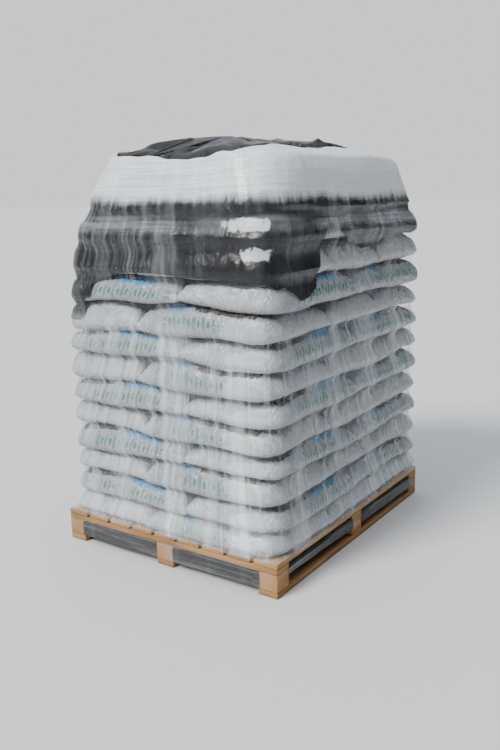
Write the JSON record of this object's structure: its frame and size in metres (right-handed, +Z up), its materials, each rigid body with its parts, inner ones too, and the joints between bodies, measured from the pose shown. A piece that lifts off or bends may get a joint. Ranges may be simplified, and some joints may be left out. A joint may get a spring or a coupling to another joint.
{
  "type": "pallet of sacks",
  "caption": "Flat wooden pallet loaded with crosswise layers of filled plastic sacks, under a black cover sheet and wrapped in clear stretch film.",
  "frame": {"origin": "on the floor, under the middle of the pallet", "axes": "+Z up, Y along the pallet's long side, X across its short end"},
  "size_m": [1, 1.2, 1.5946],
  "materials": {
    "pallet_wood": "rough sawn softwood, weathered",
    "sack_film": "white polythene sack, soft gloss, creased",
    "black_sheet": "thin black polythene, creased",
    "stretch_wrap": "clear stretch film, hazy where layers overlap"
  },
  "bodies": {
    "root": {"bottom_skid_1": "pallet_wood", "bottom_skid_2": "pallet_wood", "bottom_skid_3": "pallet_wood", "block_1_1": "pallet_wood", "block_1_2": "pallet_wood", "block_1_3": "pallet_wood", "block_2_1": "pallet_wood", "block_2_2": "pallet_wood", "block_2_3": "pallet_wood", "block_3_1": "pallet_wood", "block_3_2": "pallet_wood", "block_3_3": "pallet_wood", "stringer_1": "pallet_wood", "stringer_2": "pallet_wood", "stringer_3": "pallet_wood", "deck_board_1": "pallet_wood", "deck_board_2": "pallet_wood", "deck_board_3": "pallet_wood", "deck_board_4": "pallet_wood", "deck_board_5": "pallet_wood", "deck_board_6": "pallet_wood", "deck_board_7": "pallet_wood", "deck_board_8": "pallet_wood", "deck_board_9": "pallet_wood", "sack_layer_01": "sack_film", "sack_layer_02": "sack_film", "sack_layer_03": "sack_film", "sack_layer_04": "sack_film", "sack_layer_05": "sack_film", "sack_layer_06": "sack_film", "sack_layer_07": "sack_film", "sack_layer_08": "sack_film", "sack_layer_09": "sack_film", "sack_layer_10": "sack_film", "sack_layer_11": "sack_film", "sack_layer_12": "sack_film", "sack_layer_13": "sack_film", "sack_layer_14": "sack_film", "top_sack_1": "sack_film", "top_sack_2": "sack_film", "cover_sheet": "black_sheet", "stretch_film": "stretch_wrap"}
  },
  "joints": []
}
